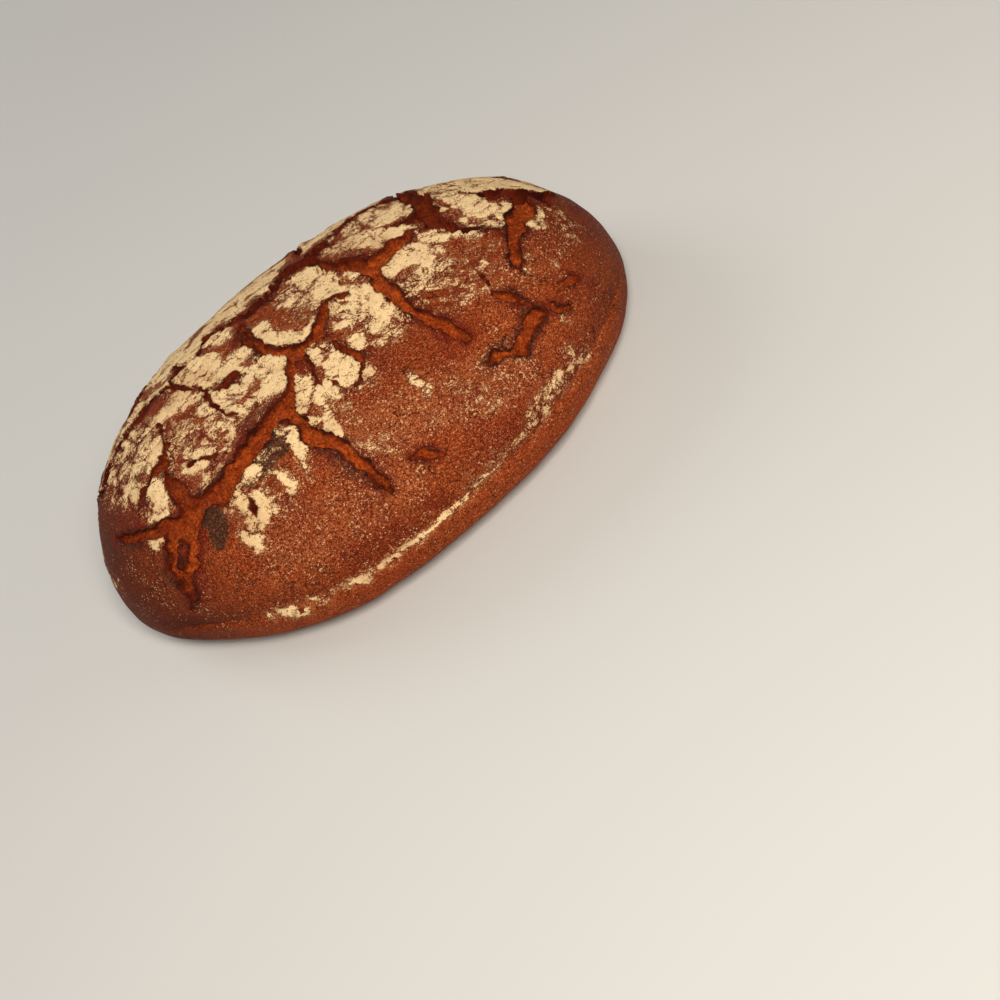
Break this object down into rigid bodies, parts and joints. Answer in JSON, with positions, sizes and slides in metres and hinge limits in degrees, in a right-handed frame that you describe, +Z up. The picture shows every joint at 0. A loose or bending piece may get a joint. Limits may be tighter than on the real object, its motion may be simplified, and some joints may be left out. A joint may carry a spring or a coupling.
{
  "type": "farmhouse loaf",
  "caption": "Large oval hand-shaped loaf with a domed, floury crust torn open in broad splits, and a flat baked underside.",
  "frame": {"origin": "on the flat underside, below the middle of the loaf's outline", "axes": "+X along the loaf's length, +Y across its width, +Z up through the dome"},
  "size_m": [0.3, 0.196, 0.094],
  "materials": {
    "crust": "matte reddish-brown baked crust with a dusting of cream flour, darker where it is scorched and orange-brown inside the splits"
  },
  "bodies": {
    "root": {"loaf": "crust"}
  },
  "joints": []
}
